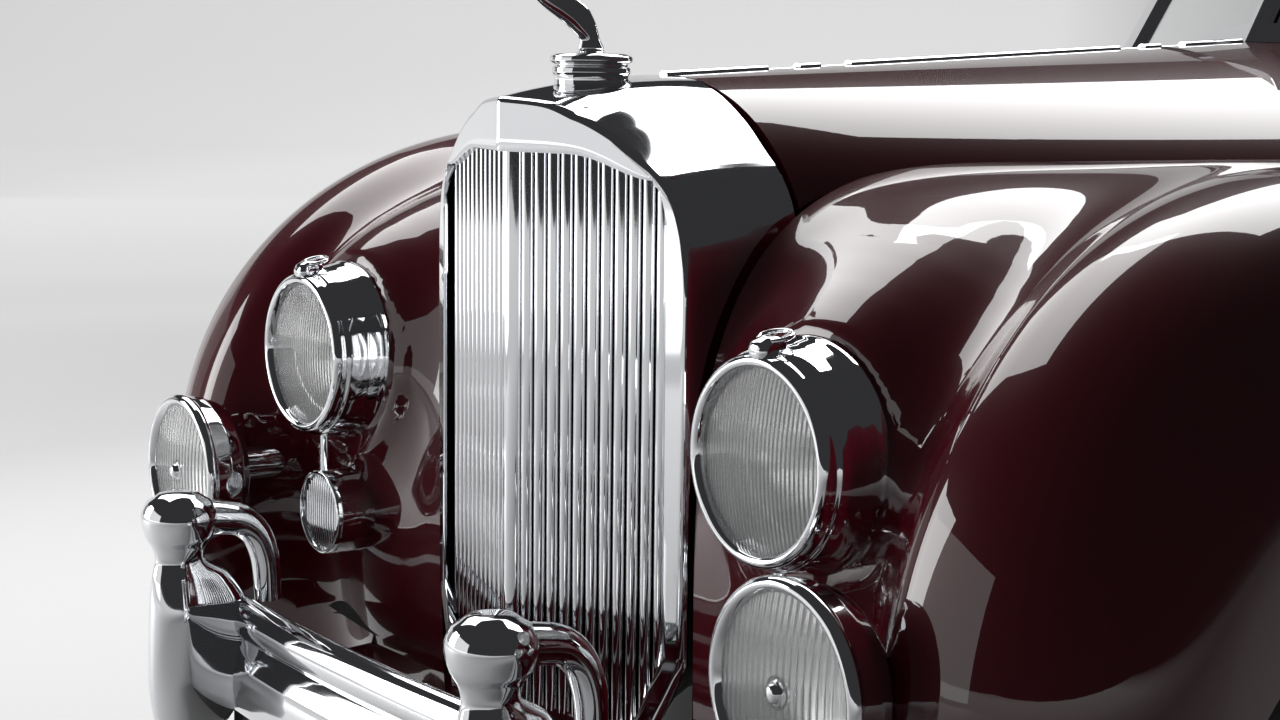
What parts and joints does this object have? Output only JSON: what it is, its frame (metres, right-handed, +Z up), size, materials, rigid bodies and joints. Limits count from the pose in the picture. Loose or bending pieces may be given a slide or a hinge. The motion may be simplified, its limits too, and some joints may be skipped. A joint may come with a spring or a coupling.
{
  "type": "open drophead coupe car",
  "caption": "Mid-century open drophead coupe on a separate chassis, with upright vee radiator, free-standing lamps, turning and steering wheels, and opening doors, bonnet halves and boot lid.",
  "frame": {"origin": "on the ground below the middle of the car's bounding box", "axes": "+X to the car's left, -Y towards the nose, +Z up"},
  "size_m": [1.822, 5.08, 1.5802],
  "materials": {
    "paint": "gloss",
    "chrome": "polished",
    "wheel": "polished",
    "chassis": "satin",
    "iron": "satin",
    "core": "matt",
    "pipe": "dull",
    "tyre": "matt",
    "glass": "clear",
    "plastic": "gloss",
    "wood": "polished",
    "leather": "satin",
    "cloth": "matt",
    "lamp_red": "gloss"
  },
  "bodies": {
    "car": {"chassis_frame": "chassis", "front_suspension": "iron", "engine_block": "iron", "radiator_core": "core", "rear_axle": "iron", "exhaust": "pipe", "fuel_tank": "chassis", "radiator_shell": "chrome", "radiator_shutters": "chrome", "filler_cap": "chrome", "mascot": "chrome", "bonnet_strip": "chrome", "front_wing_left": "paint", "front_wing_right": "paint", "front_apron": "paint", "headlamp_left": "chrome", "headlamp_right": "chrome", "fog_lamp_left": "chrome", "fog_lamp_right": "chrome", "horn_grilles": "chrome", "front_bumper": "chrome", "front_overriders": "chrome", "boot_hinges": "chrome", "rear_bumper": "chrome", "rear_overriders": "chrome", "scuttle": "paint", "floor_pan": "chassis", "dashboard": "wood", "steering_wheel": "plastic", "windscreen_frame": "chrome", "windscreen_glass": "glass", "rear_body": "paint", "tail_lamps": "lamp_red", "front_seats": "leather", "rear_seat": "leather", "hood_stack": "cloth"},
    "knuckle_left": {"knuckle_left": "iron"},
    "knuckle_right": {"knuckle_right": "iron"},
    "wheel_front_left": {"wheel_front_left": "wheel", "tyre_front_left": "tyre"},
    "wheel_front_right": {"wheel_front_right": "wheel", "tyre_front_right": "tyre"},
    "wheel_rear_left": {"wheel_rear_left": "wheel", "tyre_rear_left": "tyre"},
    "wheel_rear_right": {"wheel_rear_right": "wheel", "tyre_rear_right": "tyre"},
    "door_left": {"door_left": "paint"},
    "bonnet_left": {"bonnet_left": "paint"},
    "door_right": {"door_right": "paint"},
    "bonnet_right": {"bonnet_right": "paint"},
    "boot_lid": {"boot_lid": "paint"}
  },
  "joints": [
    {"name": "steer_left", "type": "hinge", "parent": "car", "child": "knuckle_left", "pos_m": [0.636, -1.76, 0.37], "axis": [0, 0, 1], "range_deg": [-30, 30]},
    {"name": "steer_right", "type": "hinge", "parent": "car", "child": "knuckle_right", "pos_m": [-0.636, -1.76, 0.37], "axis": [0, 0, 1], "range_deg": [-30, 30]},
    {"name": "spin_front_left", "type": "hinge", "parent": "knuckle_left", "child": "wheel_front_left", "pos_m": [0.72, -1.76, 0.37], "axis": [1, 0, 0], "continuous": true},
    {"name": "spin_front_right", "type": "hinge", "parent": "knuckle_right", "child": "wheel_front_right", "pos_m": [-0.72, -1.76, 0.37], "axis": [1, 0, 0], "continuous": true},
    {"name": "spin_rear_left", "type": "hinge", "parent": "car", "child": "wheel_rear_left", "pos_m": [0.725, 1.29, 0.37], "axis": [1, 0, 0], "continuous": true},
    {"name": "spin_rear_right", "type": "hinge", "parent": "car", "child": "wheel_rear_right", "pos_m": [-0.725, 1.29, 0.37], "axis": [1, 0, 0], "continuous": true},
    {"name": "door_left_hinge", "type": "hinge", "parent": "car", "child": "door_left", "pos_m": [0.902, -0.555, 0.6], "axis": [0, 0, -1], "range_deg": [0, 62]},
    {"name": "bonnet_left_hinge", "type": "hinge", "parent": "car", "child": "bonnet_left", "pos_m": [0, -1.5525, 1.2095], "axis": [0, -0.9986, -0.0537], "range_deg": [0, 50]},
    {"name": "door_right_hinge", "type": "hinge", "parent": "car", "child": "door_right", "pos_m": [-0.902, -0.555, 0.6], "axis": [0, 0, 1], "range_deg": [0, 62]},
    {"name": "bonnet_right_hinge", "type": "hinge", "parent": "car", "child": "bonnet_right", "pos_m": [0, -1.5525, 1.2095], "axis": [0, 0.9986, 0.0537], "range_deg": [0, 50]},
    {"name": "boot_hinge", "type": "hinge", "parent": "car", "child": "boot_lid", "pos_m": [0, 1.47, 1.07506], "axis": [1, 0, 0], "range_deg": [0, 60]}
  ],
  "couplings": [
    {"joint": "steer_right", "follows": "steer_left", "ratio": 1}
  ]
}
